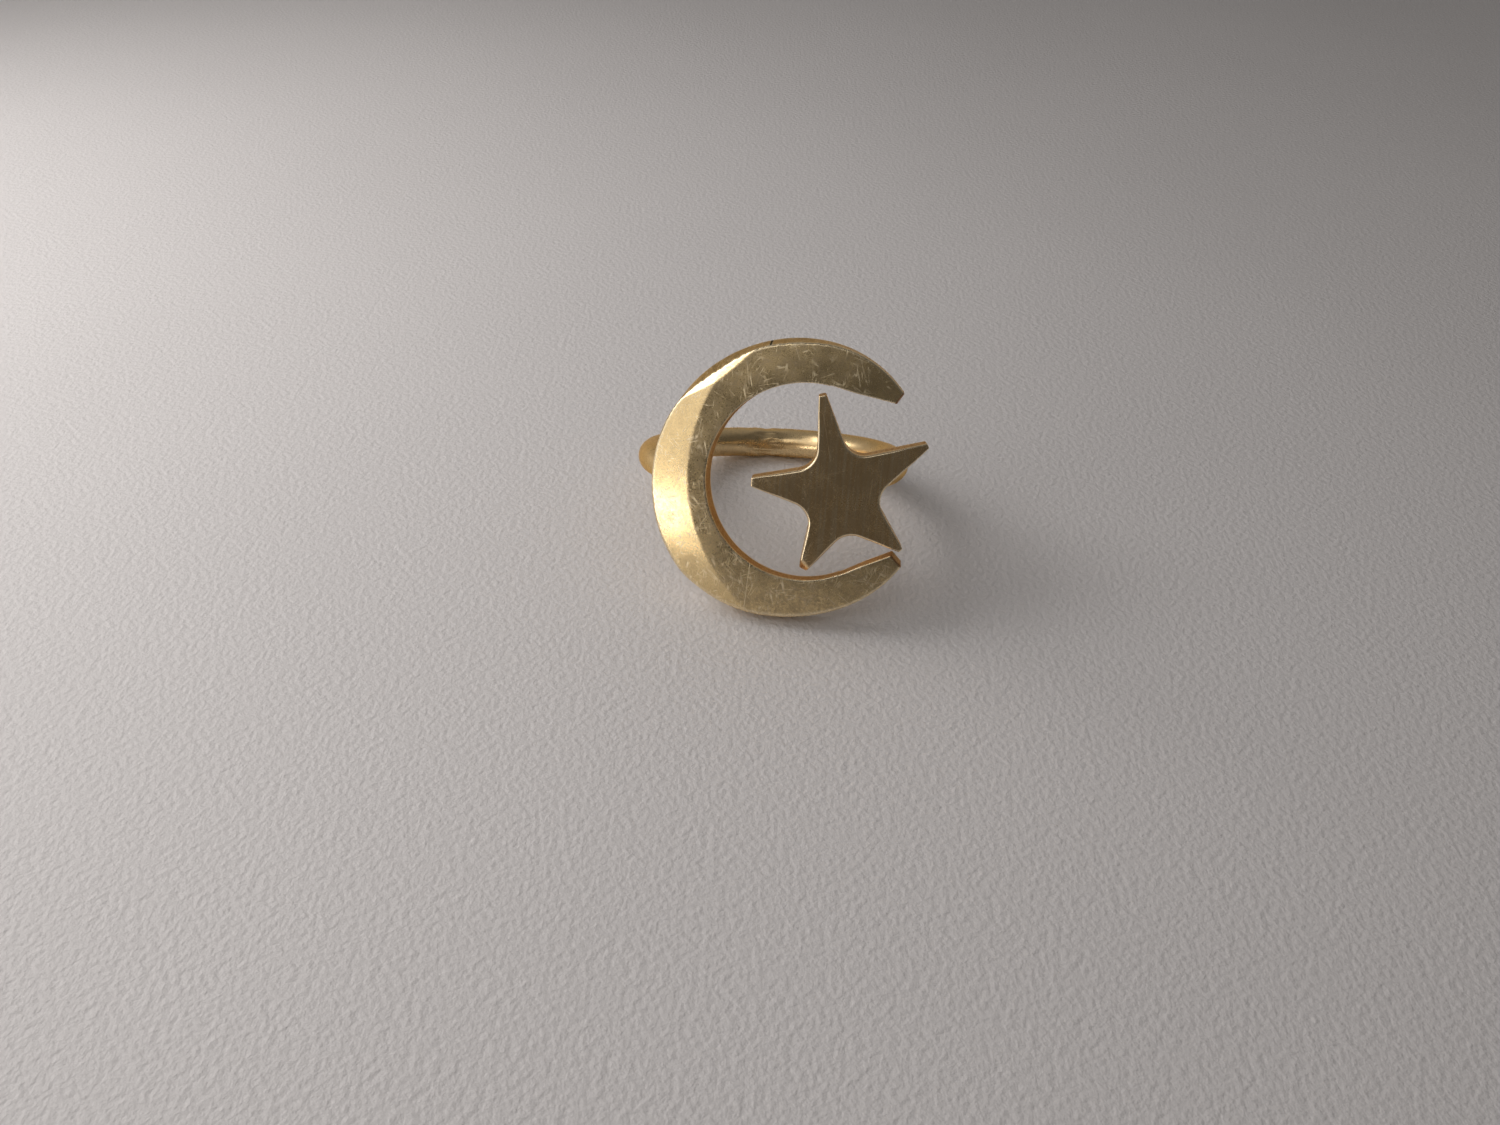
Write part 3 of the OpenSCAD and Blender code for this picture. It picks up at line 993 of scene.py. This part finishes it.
def solder_metal():
    """Dull, slightly lumpy silver solder that has taken on some of the brass."""
    n = Nodes("solder")
    place = n.millimetres()
    mottle = n.noise(place, *SOLDER_MOTTLE)
    lumps = n.noise(place, *SOLDER_LUMPS)
    relief = n.add("ShaderNodeBump", Strength=0.6, Distance=0.03 * MM, Height=lumps)
    n.shader.inputs["Metallic"].default_value = 1.0
    colour = n.mix(n.ramp(mottle, 0.35, 0.65), SOLDER_BRIGHT, SOLDER_DULL)
    n.feed(n.shader.inputs["Base Color"], colour)
    n.feed(n.shader.inputs["Roughness"], n.math("ADD", 0.25, n.math("MULTIPLY", mottle, 0.3)))
    n.feed(n.shader.inputs["Normal"], relief.outputs[0])
    return n.material


def table_top():
    """A pale matt table top with a fine pebbled grain."""
    n = Nodes("table_top")
    place = n.millimetres()
    grain = n.noise(place, *TABLE_GRAIN)
    relief = n.add("ShaderNodeBump", Strength=0.9, Distance=0.13 * MM, Height=grain)
    shade = n.mix(n.noise(place, *TABLE_SHADE), TABLE_DARKER, TABLE_LIGHTER)
    n.feed(n.shader.inputs["Base Color"], shade)
    n.shader.inputs["Roughness"].default_value = 0.6
    n.feed(n.shader.inputs["Normal"], relief.outputs[0])
    return n.material


def paint(piece, material):
    """Gives a piece that one material."""
    piece.data.materials.clear()
    piece.data.materials.append(material)


# Stage
FLOOR_HALF = 1.2


def add_floor():
    """A plain square of table top, at the height of the ring's lowest point."""
    mesh = bpy.data.meshes.new("floor")
    level = CAD_BOX[0].z
    signs = ((-1, -1), (1, -1), (1, 1), (-1, 1))
    corners = [(x * FLOOR_HALF, y * FLOOR_HALF, level) for x, y in signs]
    mesh.from_pydata(corners, [], [(0, 1, 2, 3)])
    floor = bpy.data.objects.new("floor", mesh)
    bpy.context.scene.collection.objects.link(floor)
    paint(floor, table_top())


def add_softbox(name, azimuth, elevation, distance, width, height, watts, tint):
    """A rectangular light that faces the ring. Azimuth 0 is in front, and positive to the left."""
    turn = math.radians(azimuth)
    rise = math.radians(elevation)
    across = math.cos(rise)
    away = Vector((-math.sin(turn) * across, -math.cos(turn) * across, math.sin(rise)))
    light = bpy.data.lights.new(name, "AREA")
    light.shape = "RECTANGLE"
    light.size = width
    light.size_y = height
    light.energy = watts
    light.color = tint
    lamp = bpy.data.objects.new(name, light)
    bpy.context.scene.collection.objects.link(lamp)
    lamp.location = away * distance
    lamp.rotation_euler = away.to_track_quat("Z", "Y").to_euler()


# Each light's name, azimuth, elevation, distance, width, height, watts and tint
SOFTBOXES = (
    ("window", 65, 26, 0.24, 0.21, 0.235, 0.152, (1.0, 0.96, 0.92)),
    ("side_window", 106, 38, 0.19, 0.12, 0.13, 0.17, (1.0, 0.96, 0.92)),
    ("transom", 26, 56, 0.5, 0.24, 0.14, 0.16, (1.0, 0.97, 0.94)),
    ("low_window", 46, 2, 0.28, 0.14, 0.04, 0.085, (1.0, 0.93, 0.86)),
)
# The room's brightness in front and behind, its colour, and where it changes along the y axis
ROOM_FRONT = 0.08
ROOM_BACK = 0.29
ROOM_COLOUR = (1.0, 0.95, 0.9, 1)
ROOM_CHANGE = (-0.2, 1.0)


def add_lights():
    """Large windows to the left, in a room that is dim in front and lighter behind."""
    for softbox in SOFTBOXES:
        add_softbox(*softbox)
    world = bpy.data.worlds.new("room")
    world.use_nodes = True
    tree = world.node_tree
    background = tree.nodes["Background"]
    background.inputs["Color"].default_value = ROOM_COLOUR
    way = tree.nodes.new("ShaderNodeSeparateXYZ")
    directions = tree.nodes.new("ShaderNodeTexCoord")
    tree.links.new(directions.outputs["Generated"], way.inputs[0])
    behind = tree.nodes.new("ShaderNodeMapRange")
    behind.interpolation_type = "SMOOTHSTEP"
    tree.links.new(way.outputs["Y"], behind.inputs["Value"])
    behind.inputs["From Min"].default_value = ROOM_CHANGE[0]
    behind.inputs["From Max"].default_value = ROOM_CHANGE[1]
    behind.inputs["To Min"].default_value = ROOM_FRONT
    behind.inputs["To Max"].default_value = ROOM_BACK
    tree.links.new(behind.outputs[0], background.inputs["Strength"])
    bpy.context.scene.world = world
    bpy.context.scene.view_settings.view_transform = "Standard"


add_camera()
moon = build_moon()
star = build_star()
shank = build_shank()
paint(moon, brass("moon_brass", SHEET_BRASS, **MOON_LOOK))
paint(star, brass("star_brass", STAR_BRASS, **STAR_LOOK))
paint(shank, brass("wire_brass", WIRE_BRASS, **WIRE_LOOK))
solder = solder_metal()
for node in ("moon_solder", "star_solder"):
    paint(soften_solder(node), solder)
add_floor()
add_lights()
